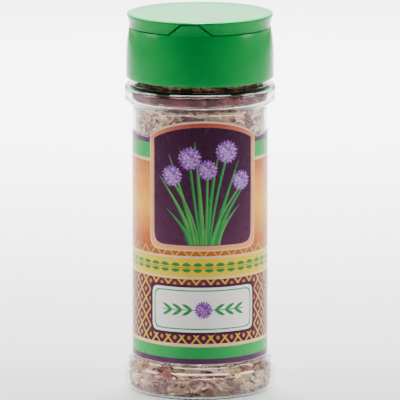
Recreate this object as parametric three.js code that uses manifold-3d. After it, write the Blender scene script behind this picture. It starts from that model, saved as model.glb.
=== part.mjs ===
// Herb shaker jar: a clear jar filled with dried chives, with a label wrapped round it and a screw cap
// whose full-width lid flips up off seven sifter holes.
// Millimetres, +Z up. The origin is the middle of the ring that the jar stands on. The label faces -Y.

import * as THREE from "three";
import { mergeVertices } from "three/addons/utils/BufferGeometryUtils.js";
import Module from "manifold-3d";

const wasm = await Module();
wasm.setup();

// ---------------------------------------------------------------- driving dimensions

const ROUND_SIDES = 48; // flat sides that stand for a full circle
const RUNNING_GAP = 0.3; // between pieces that touch or slide on each other

// Jar: foot, straight panel, shoulder ring and threaded neck.
const RING_RADIUS = 23.85; // of the foot and the shoulder ring, which guard the label
const FOOT_TOP = 7.9;
const STAND_INNER_RADIUS = 18.9; // the flat ring that touches the table
const STAND_OUTER_RADIUS = 20.9;
const HEEL_RISE = 2.2;
const PUSH_UP_RADIUS = 15;
const PUSH_UP_EDGE = 1.7;
const PUSH_UP_MIDDLE = 2.9;
const PANEL_RADIUS = 21.15;
const PANEL_BOTTOM = 11;
const PANEL_TOP = 91.1;
const RING_BOTTOM = 93.8;
const RING_TOP = 96.8;
const RING_ROUNDING = 1.7;
const SHOULDER_TOP = 98.6;
const INNER_RADIUS = 20.4;
const SHELL_THICKNESS = 1.05; // of the wall where it swells out at the foot and the shoulder ring
const FLOOR_THICKNESS = 1.4;
const NECK_RADIUS = 19.8;
const NECK_FILLET = 0.6;
const BORE_RADIUS = 18.1;
const LIP_HEIGHT = 113.2;
const LIP_CHAMFER = 0.4;

// Screw thread, right-handed, six turns to the inch.
const THREAD_PITCH = 25.4 / 6;
const THREAD_TURNS = 1.25;
const THREAD_DEPTH = 1.2;
const THREAD_ROOT_WIDTH = 1.9;
const THREAD_CREST_WIDTH = 0.9;
const THREAD_SUNK = 0.4; // of the ridge's root in the wall that carries it
const THREAD_FADE = 40; // degrees over which each end of a ridge dies away
const NECK_THREAD_START = 104.9;
const THREAD_FLANK_GAP = 1.6; // from the middle of the neck's ridge down to the middle of the cap's

// Label: one thin sheet wrapped round the panel, with an arch in the middle of its top edge.
const LABEL_INNER_RADIUS = 21.35;
const LABEL_THICKNESS = 0.3;
const LABEL_BOTTOM = 11.7;
const LABEL_TOP = 83.5;
const LABEL_SEAM_WIDTH = 5; // bare strip up the back
const ARCH_HALF_WIDTH = 23; // the arch is the top of an oval
const ARCH_HALF_HEIGHT = 13;
const ARCH_MIDDLE = 76.7;
const LABEL_TURN = 3; // degrees, to the right of the front

// Cap body and lid share one outline, parted just above the sifter deck.
const CAP_TURN = -8.1; // degrees, where the thread comes to rest
const CAP_BOTTOM = 100.3;
const CAP_BOTTOM_RADIUS = 23.45;
const CAP_EDGE_CHAMFER = 0.3;
const CAP_WALL_STEPS = 5;
const CAP_INNER_RADIUS = 21.35;
const PARTING = 116.7;
const PARTING_RADIUS = 22.4;
const DECK_TOP = 116.3;
const DECK_THICKNESS = 1.4;
const COLLAR_INNER_RADIUS = 19.95; // low ring round the deck, which the lid closes over
const COLLAR_OUTER_RADIUS = 20.75;
const COLLAR_TOP = 118.1;
const LID_TOP = 121;
const LID_THICKNESS = 1.3;
const LID_INNER_RADIUS = 21.2;
const LID_RIM_RADIUS = 23.1;
const LID_RIM_HEIGHT = 0.8; // straight part of the rim, with its rounded top edge
const SMALL_CHAMFER = 0.3;

// Sifter holes, one in the middle and six round it, each with a plug on the lid.
const HOLE_RADIUS = 2.5;
const HOLE_RING_RADIUS = 9.5;
const HOLES_IN_RING = 6;
const PLUG_RADIUS = 2.15;
const PLUG_REACH = 0.7; // into the hole
const HOLE_SIDES = 16;
const PLUG_SIDES = 12;

// Thumb tab: a tapered tongue of the cap body that fills a cut in the front of the lid.
const TAB_BOTTOM_WIDTH = 13.2;
const TAB_TOP_WIDTH = 5.3;
const TAB_TOP = 119.95;
const TAB_ROOT = 115.7;
const TAB_SIDE_GAP = 0.55;
const TAB_CUT_FROM = 19.35; // distance of the cut's inner end from the axis
const TAB_CUT_DEPTH = 6;

// Hinge: a flat land above and below the fold line, which runs along X behind the cap, 0.15 outside
// the faces of the lands.
const HINGE_WIDTH = 14;
const HINGE_FACE_Y = 22.6;
const HINGE_LAND_HEIGHT = 3;

// Sealing ring between the deck and the jar's lip.
const SEAL_INNER_RADIUS = 18.3;
const SEAL_OUTER_RADIUS = 20.6;

// Dried chives: a packed core with chopped stalks half sunk in its surface. It swells with the foot.
const CHIVE_CORE_RADIUS = 18.8;
const CHIVE_REACH_RADIUS = 20;
const CHIVE_FOOT_CORE_RADIUS = 21.5;
const CHIVE_FOOT_REACH_RADIUS = 22.4;
const CHIVE_FOOT_BOTTOM = 2.3;
const CHIVE_FOOT_TOP = 8;
const CHIVE_FLOOR = 4.9;
const CHIVE_EDGE_TOP = 95;
const CHIVE_TOP = 97.4;
const CHIVE_EDGE_ROUNDING = 2;
const CHIVE_TOP_REACH = 13;
const CHIVE_BASE_REACH = 12.5;
const CHIVE_RADIUS = [1.2, 1.55];
const CHIVE_LENGTH = [8, 11];
const CHIVE_STEEPEST = 1.25; // radians from level
const CHIVE_ROWS = 12;
const CHIVES_IN_ROW = 10;
const CHIVES_IN_FOOT = 13;
const CHIVES_ON_TOP = 18;
const CHIVES_UNDERNEATH = 8;
const CHIVE_SIDES = 4;
const CHIVE_CORE_SIDES = 24;
const CHIVE_SEED = 20731;

// ---------------------------------------------------------------- finishes

const clearPlastic = new THREE.MeshStandardMaterial({
  color: 0xf2f5f4,
  roughness: 0.06,
  metalness: 0,
  transparent: true,
  opacity: 0.35,
});
const greenPlastic = new THREE.MeshStandardMaterial({ color: 0x0c8a34, roughness: 0.3, metalness: 0 });
const printedFilm = new THREE.MeshStandardMaterial({ color: 0x3a1830, roughness: 0.35, metalness: 0 });
const sealFoam = new THREE.MeshStandardMaterial({ color: 0xf4f1e8, roughness: 0.8, metalness: 0 });
const driedHerb = new THREE.MeshStandardMaterial({ color: 0x746640, roughness: 0.9, metalness: 0 });

// ---------------------------------------------------------------- helpers

const radians = THREE.MathUtils.degToRad;

// A closed geometry as a solid that can be joined and cut.
function solid(geometry) {
  const bare = geometry.clone();
  bare.deleteAttribute("normal");
  bare.deleteAttribute("uv");
  const merged = mergeVertices(bare);
  return new wasm.Manifold(
    new wasm.Mesh({
      numProp: 3,
      vertProperties: merged.getAttribute("position").array,
      triVerts: new Uint32Array(merged.index.array),
    }),
  );
}

// A solid as a named mesh of the model.
function piece(name, body, material) {
  const { vertProperties, triVerts } = body.getMesh();
  const geometry = new THREE.BufferGeometry();
  geometry.setAttribute("position", new THREE.BufferAttribute(vertProperties, 3));
  geometry.setIndex(new THREE.BufferAttribute(triVerts, 1));
  geometry.computeVertexNormals();
  const mesh = new THREE.Mesh(geometry, material);
  mesh.name = name;
  return mesh;
}

function point(radius, height) {
  return new THREE.Vector2(radius, height);
}

// Points of a profile along an oval arc about a middle point. 0 degrees is outward and 90 is up.
function arc(middle, across, up, from, to, steps) {
  return Array.from({ length: steps + 1 }, (_, i) => {
    const angle = radians(from + ((to - from) * i) / steps);
    return point(middle.x + across * Math.cos(angle), middle.y + up * Math.sin(angle));
  });
}

// A profile of (radius, height) points turned round the Z axis. It runs up the outside.
function turned(profile, sides = ROUND_SIDES) {
  const geometry = new THREE.LatheGeometry(profile, sides);
  geometry.rotateX(Math.PI / 2);
  return solid(geometry);
}

// A profile that closes on itself, for a ring.
function turnedRing(profile) {
  return turned([...profile, profile[0].clone()]);
}

// A cross-section carried part of the way round the Z axis, anticlockwise from above. Angles are in
// radians from the front. shape(radius, height, angle) may move each point as it goes.
function carriedRound(section, startAngle, sweep, steps, shape) {
  const geometry = new THREE.ExtrudeGeometry(new THREE.Shape(section), {
    depth: 1,
    steps,
    bevelEnabled: false,
  });
  const place = geometry.getAttribute("position");
  for (let i = 0; i < place.count; i++) {
    const angle = startAngle + sweep * (1 - place.getZ(i));
    const [radius, height] = shape(place.getX(i), place.getY(i), angle);
    place.setXYZ(i, radius * Math.sin(angle), -radius * Math.cos(angle), height);
  }
  return solid(geometry);
}

// An upright round pin or hole cutter.
function upright(radius, bottom, top, sides, x, y) {
  const geometry = new THREE.CylinderGeometry(radius, radius, top - bottom, sides);
  geometry.rotateX(Math.PI / 2);
  geometry.translate(x, y, (bottom + top) / 2);
  return solid(geometry);
}

// A block between two corners.
function block(low, high) {
  const geometry = new THREE.BoxGeometry(high[0] - low[0], high[1] - low[1], high[2] - low[2]);
  geometry.translate((low[0] + high[0]) / 2, (low[1] + high[1]) / 2, (low[2] + high[2]) / 2);
  return solid(geometry);
}

// ---------------------------------------------------------------- screw thread

// A ridge that climbs one pitch a turn and dies away at both ends.
function threadRidge(wallRadius, crestRadius, startHeight) {
  const rootRadius = wallRadius + THREAD_SUNK * Math.sign(wallRadius - crestRadius);
  const sweep = THREAD_TURNS * 2 * Math.PI;
  const section = [
    point(rootRadius, -THREAD_ROOT_WIDTH / 2),
    point(crestRadius, -THREAD_CREST_WIDTH / 2),
    point(crestRadius, THREAD_CREST_WIDTH / 2),
    point(rootRadius, THREAD_ROOT_WIDTH / 2),
  ];
  const steps = Math.round(THREAD_TURNS * ROUND_SIDES);
  return carriedRound(section, 0, sweep, steps, (radius, height, angle) => {
    const fromEnd = Math.min(angle, sweep - angle);
    const fullness = Math.min(1, 0.05 + fromEnd / radians(THREAD_FADE));
    return [
      rootRadius + (radius - rootRadius) * fullness,
      startHeight + height * fullness + (THREAD_PITCH * angle) / (2 * Math.PI),
    ];
  });
}

// ---------------------------------------------------------------- jar

function jar() {
  const heelWidth = RING_RADIUS - STAND_OUTER_RADIUS;
  const ringStep = RING_RADIUS - PANEL_RADIUS;
  const outside = [
    point(0, PUSH_UP_MIDDLE),
    point(PUSH_UP_RADIUS, PUSH_UP_EDGE),
    point(STAND_INNER_RADIUS, 0),
    ...arc(point(STAND_OUTER_RADIUS, HEEL_RISE), heelWidth, HEEL_RISE, -90, 0, 3),
    ...arc(point(PANEL_RADIUS, FOOT_TOP), ringStep, PANEL_BOTTOM - FOOT_TOP - 1, 0, 60, 2),
    point(PANEL_RADIUS + ringStep / 5, PANEL_BOTTOM - 0.6),
    point(PANEL_RADIUS, PANEL_BOTTOM),
    point(PANEL_RADIUS, PANEL_TOP),
    point(PANEL_RADIUS + ringStep / 5, PANEL_TOP + 0.6),
    ...arc(point(PANEL_RADIUS, RING_BOTTOM), ringStep, RING_BOTTOM - PANEL_TOP - 1, -60, 0, 2),
    ...arc(point(RING_RADIUS - RING_ROUNDING, RING_TOP), RING_ROUNDING, RING_ROUNDING, 0, 80, 3),
    point(NECK_RADIUS + NECK_FILLET, SHOULDER_TOP),
    point(NECK_RADIUS, SHOULDER_TOP + NECK_FILLET),
    point(NECK_RADIUS, LIP_HEIGHT - LIP_CHAMFER),
    point(NECK_RADIUS - LIP_CHAMFER, LIP_HEIGHT),
  ];
  const innerRounding = RING_ROUNDING - SHELL_THICKNESS;
  const innerStep = ringStep - SHELL_THICKNESS;
  const inside = [
    point(BORE_RADIUS, LIP_HEIGHT),
    point(BORE_RADIUS, SHOULDER_TOP - 0.3),
    point(BORE_RADIUS + 1, SHOULDER_TOP - SHELL_THICKNESS),
    ...arc(point(RING_RADIUS - RING_ROUNDING, RING_TOP), innerRounding, innerRounding, 80, 0, 2),
    ...arc(point(PANEL_RADIUS, RING_BOTTOM), innerStep, innerRounding, 0, -60, 2),
    point(INNER_RADIUS, PANEL_TOP + 0.7),
    point(INNER_RADIUS, PANEL_BOTTOM - 0.7),
    ...arc(point(PANEL_RADIUS, FOOT_TOP), innerStep, SHELL_THICKNESS, 60, 0, 2),
    ...arc(
      point(STAND_OUTER_RADIUS, HEEL_RISE),
      heelWidth - SHELL_THICKNESS,
      HEEL_RISE - SHELL_THICKNESS,
      0,
      -90,
      2,
    ),
    point(STAND_INNER_RADIUS, SHELL_THICKNESS + 0.2),
    point(PUSH_UP_RADIUS, PUSH_UP_EDGE + FLOOR_THICKNESS),
    point(0, PUSH_UP_MIDDLE + FLOOR_THICKNESS),
  ];
  const thread = threadRidge(NECK_RADIUS, NECK_RADIUS + THREAD_DEPTH, NECK_THREAD_START);
  return turned([...outside, ...inside]).add(thread);
}

// ---------------------------------------------------------------- label

// Height of the label's top edge at a distance round from the middle of its front.
function labelTopEdge(along) {
  const across = Math.min(1, Math.abs(along) / ARCH_HALF_WIDTH);
  return Math.max(LABEL_TOP, ARCH_MIDDLE + ARCH_HALF_HEIGHT * Math.sqrt(1 - across * across));
}

function label() {
  const steps = 72;
  const outer = LABEL_INNER_RADIUS + LABEL_THICKNESS;
  const halfSweep = Math.PI - LABEL_SEAM_WIDTH / 2 / outer;
  const section = [
    point(LABEL_INNER_RADIUS, 0),
    point(outer, 0),
    point(outer, 1),
    point(LABEL_INNER_RADIUS, 1),
  ];
  return carriedRound(section, -halfSweep, 2 * halfSweep, steps, (radius, share, angle) => [
    radius,
    LABEL_BOTTOM + share * (labelTopEdge(angle * outer) - LABEL_BOTTOM),
  ]);
}

// ---------------------------------------------------------------- cap body and lid

// Middles of the sifter holes.
function holePlaces() {
  const ring = Array.from({ length: HOLES_IN_RING }, (_, i) => {
    const angle = (i * 2 * Math.PI) / HOLES_IN_RING + Math.PI / 2;
    return [HOLE_RING_RADIUS * Math.cos(angle), HOLE_RING_RADIUS * Math.sin(angle)];
  });
  return [[0, 0], ...ring];
}

// Outer outline of the lid from a height near the parting line up to the rim, which flares out.
function flare(bottom) {
  const steps = 3;
  const rimBottom = LID_TOP - LID_RIM_HEIGHT;
  return Array.from({ length: steps + 1 }, (_, i) => {
    const share = i / steps;
    const radius = PARTING_RADIUS + (LID_RIM_RADIUS - PARTING_RADIUS) * share ** 2;
    return point(radius, bottom + (rimBottom - bottom) * share);
  });
}

// Width of the thumb tab at a height.
function tabWidth(height) {
  return TAB_BOTTOM_WIDTH + ((TAB_TOP_WIDTH - TAB_BOTTOM_WIDTH) * (height - PARTING)) / (TAB_TOP - PARTING);
}

// Prism at the front with the thumb tab's tapering face, wider by a margin on each side.
function tabPrism(bottom, top, margin) {
  const bottomHalf = tabWidth(bottom) / 2 + margin;
  const topHalf = tabWidth(top) / 2 + margin;
  const face = [
    point(-bottomHalf, bottom),
    point(bottomHalf, bottom),
    point(topHalf, top),
    point(-topHalf, top),
  ];
  const geometry = new THREE.ExtrudeGeometry(new THREE.Shape(face), {
    depth: TAB_CUT_DEPTH,
    bevelEnabled: false,
  });
  geometry.rotateX(Math.PI / 2);
  geometry.translate(0, -TAB_CUT_FROM, 0);
  return solid(geometry);
}

// The tab keeps the lid's outline, so that it closes the cut in the lid's skirt.
function thumbTab() {
  const skirt = turnedRing([
    point(LID_INNER_RADIUS, TAB_ROOT),
    point(PARTING_RADIUS, TAB_ROOT),
    ...flare(PARTING),
    point(LID_INNER_RADIUS, LID_TOP - LID_RIM_HEIGHT),
  ]);
  return tabPrism(TAB_ROOT, TAB_TOP, 0).intersect(skirt);
}

// Flat-faced block behind the cap, outside a wall's inner face.
function hingeLand(wallRadius, bottom, top) {
  const halfWidth = HINGE_WIDTH / 2;
  const slab = block([-halfWidth, wallRadius - 2, bottom], [halfWidth, HINGE_FACE_Y, top]);
  const hollow = turned([
    point(0, bottom - 1),
    point(wallRadius, bottom - 1),
    point(wallRadius, top + 1),
    point(0, top + 1),
  ]);
  return slab.subtract(hollow);
}

function capBody() {
  const top = PARTING - RUNNING_GAP / 2;
  const deckUnderside = DECK_TOP - DECK_THICKNESS;
  const wallBottom = CAP_BOTTOM + CAP_EDGE_CHAMFER;
  const wall = Array.from({ length: CAP_WALL_STEPS + 1 }, (_, i) => {
    const share = i / CAP_WALL_STEPS;
    const radius = CAP_BOTTOM_RADIUS - (CAP_BOTTOM_RADIUS - PARTING_RADIUS) * share ** 3;
    return point(radius, wallBottom + (top - wallBottom) * share);
  });
  const profile = [
    point(CAP_INNER_RADIUS, CAP_BOTTOM),
    point(CAP_BOTTOM_RADIUS - CAP_EDGE_CHAMFER, CAP_BOTTOM),
    ...wall,
    point(COLLAR_OUTER_RADIUS, top),
    point(COLLAR_OUTER_RADIUS, COLLAR_TOP - SMALL_CHAMFER),
    point(COLLAR_OUTER_RADIUS - SMALL_CHAMFER, COLLAR_TOP),
    point(COLLAR_INNER_RADIUS, COLLAR_TOP),
    point(COLLAR_INNER_RADIUS, DECK_TOP),
    point(0, DECK_TOP),
    point(0, deckUnderside),
    point(CAP_INNER_RADIUS, deckUnderside),
  ];
  const thread = threadRidge(
    CAP_INNER_RADIUS,
    CAP_INNER_RADIUS - THREAD_DEPTH,
    NECK_THREAD_START - THREAD_FLANK_GAP,
  );
  const land = hingeLand(CAP_INNER_RADIUS, top - HINGE_LAND_HEIGHT, top);
  let body = turnedRing(profile).add(thread).add(thumbTab()).add(land);
  for (const [x, y] of holePlaces()) {
    body = body.subtract(upright(HOLE_RADIUS, deckUnderside - 1, DECK_TOP + 1, HOLE_SIDES, x, y));
  }
  return body;
}

function flipLid() {
  const bottom = PARTING + RUNNING_GAP / 2;
  const underside = LID_TOP - LID_THICKNESS;
  const rimMiddle = point(LID_RIM_RADIUS - LID_RIM_HEIGHT, LID_TOP - LID_RIM_HEIGHT);
  const profile = [
    point(0, underside),
    point(LID_INNER_RADIUS - SMALL_CHAMFER, underside),
    point(LID_INNER_RADIUS, underside - SMALL_CHAMFER),
    point(LID_INNER_RADIUS, bottom),
    ...flare(bottom),
    ...arc(rimMiddle, LID_RIM_HEIGHT, LID_RIM_HEIGHT, 30, 90, 2),
    point(0, LID_TOP),
  ];
  let body = turned(profile).add(hingeLand(LID_INNER_RADIUS, bottom, bottom + HINGE_LAND_HEIGHT));
  for (const [x, y] of holePlaces()) {
    body = body.add(upright(PLUG_RADIUS, DECK_TOP - PLUG_REACH, underside + 0.5, PLUG_SIDES, x, y));
  }
  return body.subtract(tabPrism(bottom - 1, TAB_TOP + RUNNING_GAP, TAB_SIDE_GAP));
}

// ---------------------------------------------------------------- sealing ring

function sealRing() {
  const bottom = LIP_HEIGHT + RUNNING_GAP;
  const top = DECK_TOP - DECK_THICKNESS - RUNNING_GAP;
  return turnedRing([
    point(SEAL_INNER_RADIUS, bottom),
    point(SEAL_OUTER_RADIUS, bottom),
    point(SEAL_OUTER_RADIUS, top),
    point(SEAL_INNER_RADIUS, top),
  ]);
}

// ---------------------------------------------------------------- dried chives

// A repeatable stream of numbers from 0 to 1.
function randomStream(seed) {
  let state = seed;
  return () => {
    state = (Math.imul(state, 1664525) + 1013904223) >>> 0;
    return state / 2 ** 32;
  };
}

// One chopped stalk, lying along X with its middle at the origin.
function stalk(radius, length) {
  const geometry = new THREE.CylinderGeometry(radius, radius, length, CHIVE_SIDES);
  geometry.rotateZ(Math.PI / 2);
  return geometry;
}

function chiveFill() {
  const random = randomStream(CHIVE_SEED);
  const between = (low, high) => low + (high - low) * random();
  const stalks = [];

  // Rows against the wall, each stalk flat to it at a slant of its own.
  const layRows = (rows, inRow, reach, bottom, top, steepest) => {
    const rowHeight = (top - bottom) / rows;
    for (let row = 0; row < rows; row++) {
      for (let i = 0; i < inRow; i++) {
        const radius = between(...CHIVE_RADIUS);
        const length = between(...CHIVE_LENGTH);
        const slant = between(-steepest, steepest);
        const across = (length / 2) * Math.cos(slant);
        const rise = (length / 2) * Math.abs(Math.sin(slant)) + radius;
        const depth = Math.sqrt(reach ** 2 - across ** 2) - radius;
        const height = THREE.MathUtils.clamp(
          bottom + (row + between(0.2, 0.8)) * rowHeight,
          bottom + rise,
          top - rise,
        );
        const shift = (row % 2) / 2 + between(-0.25, 0.25);
        const geometry = stalk(radius, length);
        geometry.rotateY(slant);
        geometry.translate(0, -depth, height);
        geometry.rotateZ(((i + shift) * 2 * Math.PI) / inRow);
        stalks.push(solid(geometry));
      }
    }
  };
  layRows(1, CHIVES_IN_FOOT, CHIVE_FOOT_REACH_RADIUS, CHIVE_FOOT_BOTTOM, CHIVE_FOOT_TOP, 0.2);
  layRows(
    CHIVE_ROWS,
    CHIVES_IN_ROW,
    CHIVE_REACH_RADIUS,
    CHIVE_FOOT_TOP,
    CHIVE_EDGE_TOP + 1,
    CHIVE_STEEPEST,
  );

  // Over a round patch, spread evenly by the golden angle.
  const goldenAngle = Math.PI * (3 - Math.sqrt(5));
  const scatter = (count, reach, steepest, heightAt) => {
    for (let i = 0; i < count; i++) {
      const out = reach * Math.sqrt((i + 0.5) / count);
      const angle = i * goldenAngle;
      const geometry = stalk(between(...CHIVE_RADIUS), between(...CHIVE_LENGTH));
      geometry.rotateY(between(-steepest, steepest));
      geometry.rotateZ(between(0, Math.PI));
      geometry.translate(out * Math.cos(angle), out * Math.sin(angle), heightAt(out / reach));
      stalks.push(solid(geometry));
    }
  };
  const heap = CHIVE_TOP - CHIVE_EDGE_TOP;
  scatter(CHIVES_ON_TOP, CHIVE_TOP_REACH, 0.3, (share) => CHIVE_TOP - heap * share * 0.7);
  scatter(CHIVES_UNDERNEATH, CHIVE_BASE_REACH, 0, () => CHIVE_FLOOR + CHIVE_RADIUS[1]);

  const base = CHIVE_FLOOR + 0.5;
  const core = turned(
    [
      point(0, base),
      point(PUSH_UP_RADIUS, base - 0.4),
      point(STAND_INNER_RADIUS, CHIVE_FOOT_BOTTOM + 0.5),
      point(STAND_OUTER_RADIUS, CHIVE_FOOT_BOTTOM + 0.5),
      point(CHIVE_FOOT_CORE_RADIUS, CHIVE_FOOT_BOTTOM + 1.5),
      point(CHIVE_FOOT_CORE_RADIUS, CHIVE_FOOT_TOP - 0.8),
      point(CHIVE_CORE_RADIUS, PANEL_BOTTOM - 1),
      point(CHIVE_CORE_RADIUS, CHIVE_EDGE_TOP - 1),
      point(CHIVE_CORE_RADIUS - CHIVE_EDGE_ROUNDING, CHIVE_EDGE_TOP + 0.6),
      point(0, CHIVE_TOP),
    ],
    CHIVE_CORE_SIDES,
  );
  const skins = wasm.Manifold.union([core, ...stalks]).decompose();
  return skins.reduce((largest, skin) => (skin.volume() > largest.volume() ? skin : largest));
}

// ---------------------------------------------------------------- the jar, put together

const herbShakerJar = new THREE.Group();
herbShakerJar.add(piece("jar", jar(), clearPlastic));
herbShakerJar.add(piece("chive_fill", chiveFill(), driedHerb));

const wrapLabel = piece("label", label(), printedFilm);
wrapLabel.rotation.z = radians(LABEL_TURN);
herbShakerJar.add(wrapLabel);

const closure = new THREE.Group();
closure.rotation.z = radians(CAP_TURN);
closure.add(piece("cap_body", capBody(), greenPlastic));
closure.add(piece("flip_lid", flipLid(), greenPlastic));
closure.add(piece("seal_ring", sealRing(), sealFoam));
herbShakerJar.add(closure);

export default herbShakerJar;
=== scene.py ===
import math
import random
from collections import namedtuple

import bmesh
import bpy
from mathutils import Matrix, Vector, noise


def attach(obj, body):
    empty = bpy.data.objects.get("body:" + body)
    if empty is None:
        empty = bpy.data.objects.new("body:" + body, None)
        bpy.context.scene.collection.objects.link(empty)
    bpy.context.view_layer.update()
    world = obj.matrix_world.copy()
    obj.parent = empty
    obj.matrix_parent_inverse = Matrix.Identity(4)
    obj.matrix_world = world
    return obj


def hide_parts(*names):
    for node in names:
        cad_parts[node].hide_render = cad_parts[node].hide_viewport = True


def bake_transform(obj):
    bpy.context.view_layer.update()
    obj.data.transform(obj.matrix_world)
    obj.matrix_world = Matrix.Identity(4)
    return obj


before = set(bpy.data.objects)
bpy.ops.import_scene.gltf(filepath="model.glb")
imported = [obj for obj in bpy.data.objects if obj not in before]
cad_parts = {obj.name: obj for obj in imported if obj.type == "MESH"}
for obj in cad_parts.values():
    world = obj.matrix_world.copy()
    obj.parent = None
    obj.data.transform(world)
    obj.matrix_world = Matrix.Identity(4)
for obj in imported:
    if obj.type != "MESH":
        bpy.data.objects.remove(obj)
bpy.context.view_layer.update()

MM = 0.001

# ---- sizes, in millimetres and degrees

# Jar
RING_RADIUS = 23.85
FOOT_TOP = 7.9
STAND_INNER_RADIUS = 18.9
STAND_OUTER_RADIUS = 20.5
HEEL_HEIGHT = 0.7
PUSH_UP_RADIUS = 15
PUSH_UP_EDGE = 1.7
PUSH_UP_MIDDLE = 2.9
FLOOR_EDGE = 2.9
FLOOR_MIDDLE = 4.3
PANEL_RADIUS = 21.3
PANEL_BOTTOM = 11.0
PANEL_TOP = 91.1
RING_BOTTOM = 94.0
RING_TOP = 98.4
SHOULDER_TOP = 99.6
INNER_RADIUS = 20.75
NECK_RADIUS = 19.8
BORE_RADIUS = 18.1
LIP_HEIGHT = 113.2
SHELL_THICKNESS = 0.8

# Screw thread
THREAD_PITCH = 25.4 / 6
THREAD_TURNS = 1.25
THREAD_DEPTH = 1.2
THREAD_SUNK = 0.4
THREAD_ROOT_WIDTH = 1.9
THREAD_CREST_WIDTH = 0.8
NECK_THREAD_START = 104.9
CAP_THREAD_START = 103.3

# Label
LABEL_RADIUS = 21.42
LABEL_THICKNESS = 0.12
LABEL_BOTTOM = 11.7
LABEL_TOP = 83.5
LABEL_SEAM_WIDTH = 5
LABEL_TURN = 3
ARCH_HALF_WIDTH = 23
ARCH_HALF_HEIGHT = 13
ARCH_MIDDLE = 76.7

# Cap body and lid
CAP_TURN = -8.1
CAP_BOTTOM = 100.6
CAP_BOTTOM_RADIUS = 23.45
CAP_EDGE = 0.3
CAP_INNER_RADIUS = 21.35
PARTING = 116.7
PARTING_GAP = 0.3
PARTING_RADIUS = 22.4
DECK_TOP = 116.3
DECK_UNDERSIDE = 114.9
COLLAR_INNER_RADIUS = 19.95
COLLAR_OUTER_RADIUS = 20.75
COLLAR_TOP = 118.1
LID_TOP = 121
LID_UNDERSIDE = 119.7
LID_INNER_RADIUS = 21.2
LID_RIM_RADIUS = 23.1
LID_RIM_HEIGHT = 0.8
LID_DISH = 0.12
HOLE_RADIUS = 2.5
HOLE_RING_RADIUS = 9.5
HOLES_IN_RING = 6
PLUG_RADIUS = 2.15
PLUG_BOTTOM = 115.6
TAB_BOTTOM_WIDTH = 13.2
TAB_TOP_WIDTH = 5.3
TAB_TOP = 119.95
TAB_ROOT = 115.7
TAB_SIDE_GAP = 0.7
TAB_DEPTH = 6
TAB_INNER_Y = -19.35
HINGE_WIDTH = 14
HINGE_FACE_Y = 22.6
HINGE_LAND_HEIGHT = 3
HINGE_LAND_SUNK = 2
SEAL_INNER_RADIUS = 18.3
SEAL_OUTER_RADIUS = 20.6
SEAL_GAP = 0.3

# Dried chives
FILL_TOP = 101.5
# (height, reach) up the wall: they fill the foot's swell and pack up into the neck
FILL_OUTLINE = [(0.95, 21.0), (1.7, 22.2), (2.8, 22.85), (7.4, 22.85), (8.6, 22.3), (10.2, 20.55)]
FILL_OUTLINE += [(91.8, 20.55), (94.3, 21.7), (96.8, 21.6), (98.3, 17.85), (FILL_TOP, 17.85)]
FILL_FLOOR = 1.0
CORE_DEPTH = 1.4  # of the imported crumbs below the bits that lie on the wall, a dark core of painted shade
CRUMB_SIZE = 0.2
SHORTEST_BIT = 1.5
BIT_WIDTHS = (0.8, 1.5)
BIT_REST = 0.42  # how far a bit's middle is from what it lies on, as a share of its width
PATCH_WIDTH = 4  # of a patch of neighbours that share a tone
PATCH_HEIGHT = 9
PATCHINESS = 0.5

# ---- camera and light

CAMERA_DISTANCE = 1.6
CAMERA_PITCH = 10.7
AIM_HEIGHT = 0.0606
PICTURE_WIDTH = 0.1272  # what the picture spans at the jar's axis
SENSOR_WIDTH = 36
BACK_LIGHT = 3.4
SIDE_LIGHT = 1.4
CEILING_LIGHT = 0.25
DARK_SIDE = 0.02
GLINT_BOUNCES = 2


def aimed(name, data, place, aim):
    """A camera or lamp at a place, pointed at an aim."""
    holder = bpy.data.objects.new(name, data)
    holder.location = place
    holder.rotation_euler = (Vector(aim) - Vector(place)).to_track_quat("-Z", "Y").to_euler()
    bpy.context.scene.collection.objects.link(holder)
    return holder


def add_camera():
    """A long lens in front of the jar, looking a little down on it."""
    camera = bpy.data.cameras.new("camera")
    camera.sensor_width = SENSOR_WIDTH
    camera.lens = SENSOR_WIDTH * CAMERA_DISTANCE / PICTURE_WIDTH
    pitch = math.radians(CAMERA_PITCH)
    back = Vector((0, -math.cos(pitch), math.sin(pitch)))
    aim = Vector((0, 0, AIM_HEIGHT))
    bpy.context.scene.camera = aimed("camera", camera, aim + back * CAMERA_DISTANCE, aim)


def add_softbox(name, place, aim, size, power, spread=180, pieces=()):
    """A rectangular lamp. If it is given pieces, it lights only those, and not what they hold."""
    lamp = bpy.data.lights.new(name, "AREA")
    lamp.shape = "RECTANGLE"
    lamp.size, lamp.size_y = size
    lamp.energy = power
    lamp.spread = math.radians(spread)
    holder = aimed(name, lamp, place, aim)
    if pieces:
        lit = bpy.data.collections.new(name)
        for piece in pieces:
            lit.objects.link(piece)
        holder.light_linking.receiver_collection = lit
        lamp.cycles.max_bounces = GLINT_BOUNCES


def add_surroundings():
    """A studio: dark behind the camera, bright round the sides and back, dimmer overhead."""
    world = bpy.data.worlds.new("studio")
    bpy.context.scene.world = world
    world.use_nodes = True
    _, along, up = split(read(world.node_tree, "TexCoord", "Generated"))
    to_side = eased(along, -0.60, 0.05)
    to_back = eased(along, 0.30, 0.95)
    overhead = eased(up, 0.15, 0.60)
    wall = mixed(to_back, grey(SIDE_LIGHT), grey(BACK_LIGHT))
    room = mixed(overhead, wall, grey(CEILING_LIGHT))
    colour = mixed(to_side, grey(DARK_SIDE), room)
    fill(world.node_tree.nodes["Background"].inputs["Color"], colour)


def add_floor():
    """A pale table that reaches past every view."""
    bm = bmesh.new()
    bmesh.ops.create_grid(bm, x_segments=4, y_segments=4, size=6)
    floor = finished("floor", bm, floor_finish())


# ---- shader helpers


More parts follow.
